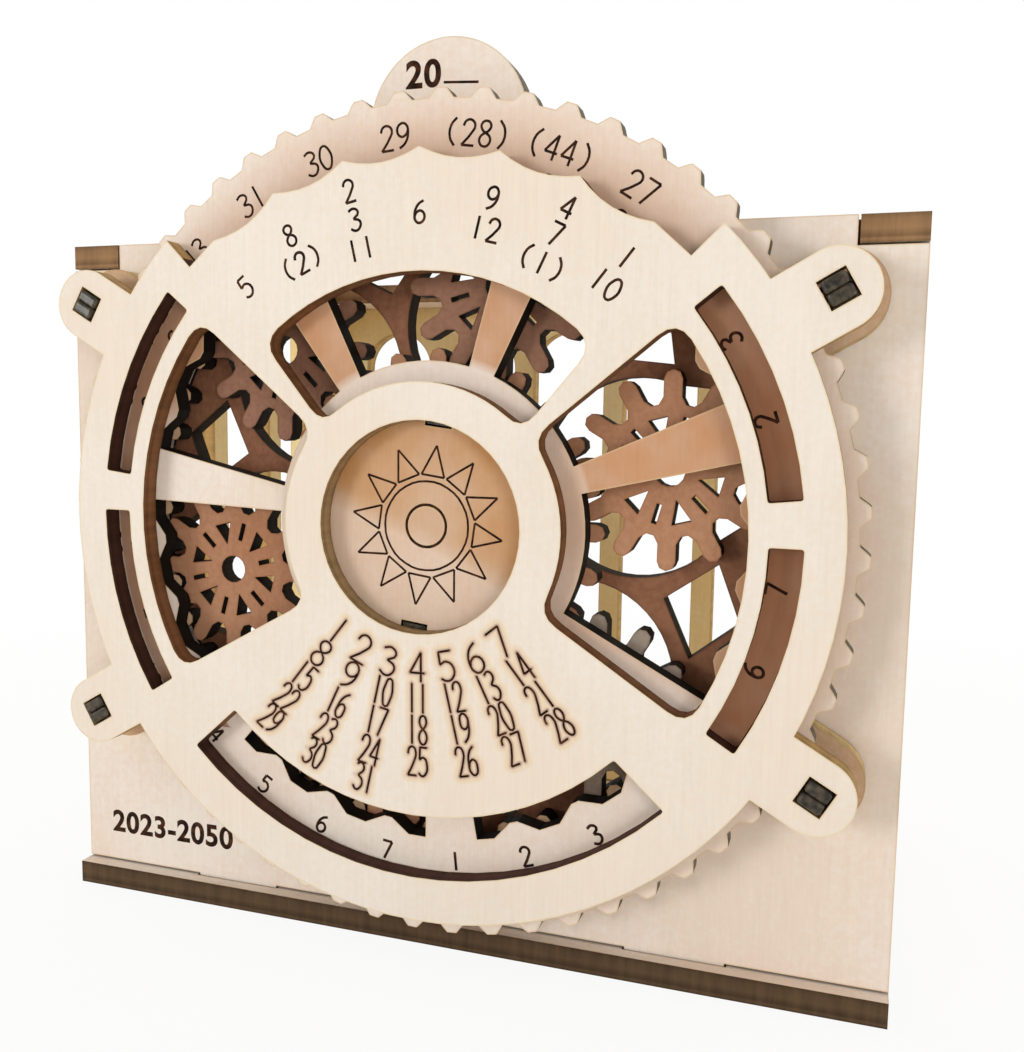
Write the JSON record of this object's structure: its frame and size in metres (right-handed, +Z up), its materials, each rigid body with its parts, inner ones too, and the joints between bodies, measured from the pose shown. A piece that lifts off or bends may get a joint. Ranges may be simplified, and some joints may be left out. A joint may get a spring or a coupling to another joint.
{
  "type": "perpetual desk calendar",
  "caption": "Plywood perpetual desk calendar: a toothed wheel turns behind a fixed plate of months and dates, with visible planetary gears, on the front of a pen box.",
  "frame": {"origin": "on the table under the middle of the bounding box", "axes": "+Z up, -Y out of the dial's face towards the reader, +X to the reader's right"},
  "size_m": [0.1086, 0.0688, 0.1114],
  "materials": {
    "basswood": "bare sanded basswood plywood with laser-burnt edges",
    "inner_basswood": "bare basswood plywood in the shade of the dial",
    "burnt_basswood": "laser-burnt end grain"
  },
  "bodies": {
    "frame": {"base_plate": "basswood", "front_panel": "basswood", "rear_panel": "basswood", "left_side": "basswood", "right_side": "basswood", "top_plate": "basswood", "front_plate": "basswood", "ring_gear_plate": "inner_basswood", "peg_upper_right_a": "burnt_basswood", "peg_upper_right_b": "burnt_basswood", "peg_upper_left_a": "burnt_basswood", "peg_upper_left_b": "burnt_basswood", "peg_lower_left_a": "burnt_basswood", "peg_lower_left_b": "burnt_basswood", "peg_lower_right_a": "burnt_basswood", "peg_lower_right_b": "burnt_basswood"},
    "dial": {"calendar_wheel": "basswood", "sun_gear": "inner_basswood", "central_axle": "inner_basswood", "axle_retainer": "basswood", "key_upper": "burnt_basswood", "key_lower": "burnt_basswood"},
    "carrier": {"planet_carrier": "inner_basswood"},
    "planet_1": {"planet_gear_1": "inner_basswood"},
    "planet_2": {"planet_gear_2": "inner_basswood"},
    "planet_3": {"planet_gear_3": "inner_basswood"},
    "planet_4": {"planet_gear_4": "inner_basswood"},
    "planet_5": {"planet_gear_5": "inner_basswood"},
    "planet_6": {"planet_gear_6": "inner_basswood"}
  },
  "joints": [
    {"name": "dial_turn", "type": "hinge", "parent": "frame", "child": "dial", "pos_m": [0, -0.0312, 0.054], "axis": [0, -1, 0], "continuous": true},
    {"name": "carrier_turn", "type": "hinge", "parent": "frame", "child": "carrier", "pos_m": [0, -0.02435, 0.054], "axis": [0, -1, 0], "continuous": true},
    {"name": "planet_1_spin", "type": "hinge", "parent": "carrier", "child": "planet_1", "pos_m": [0.02824, -0.02715, 0.06125], "axis": [0, -1, 0], "continuous": true},
    {"name": "planet_2_spin", "type": "hinge", "parent": "carrier", "child": "planet_2", "pos_m": [0.00784, -0.02715, 0.08209], "axis": [0, -1, 0], "continuous": true},
    {"name": "planet_3_spin", "type": "hinge", "parent": "carrier", "child": "planet_3", "pos_m": [-0.0204, -0.02715, 0.07483], "axis": [0, -1, 0], "continuous": true},
    {"name": "planet_4_spin", "type": "hinge", "parent": "carrier", "child": "planet_4", "pos_m": [-0.02824, -0.02715, 0.04675], "axis": [0, -1, 0], "continuous": true},
    {"name": "planet_5_spin", "type": "hinge", "parent": "carrier", "child": "planet_5", "pos_m": [-0.00784, -0.02715, 0.02591], "axis": [0, -1, 0], "continuous": true},
    {"name": "planet_6_spin", "type": "hinge", "parent": "carrier", "child": "planet_6", "pos_m": [0.0204, -0.02715, 0.03317], "axis": [0, -1, 0], "continuous": true}
  ],
  "couplings": [
    {"joint": "carrier_turn", "follows": "dial_turn", "ratio": 0.33333},
    {"joint": "planet_1_spin", "follows": "dial_turn", "ratio": -1.3333},
    {"joint": "planet_2_spin", "follows": "dial_turn", "ratio": -1.3333},
    {"joint": "planet_3_spin", "follows": "dial_turn", "ratio": -1.3333},
    {"joint": "planet_4_spin", "follows": "dial_turn", "ratio": -1.3333},
    {"joint": "planet_5_spin", "follows": "dial_turn", "ratio": -1.3333},
    {"joint": "planet_6_spin", "follows": "dial_turn", "ratio": -1.3333}
  ]
}
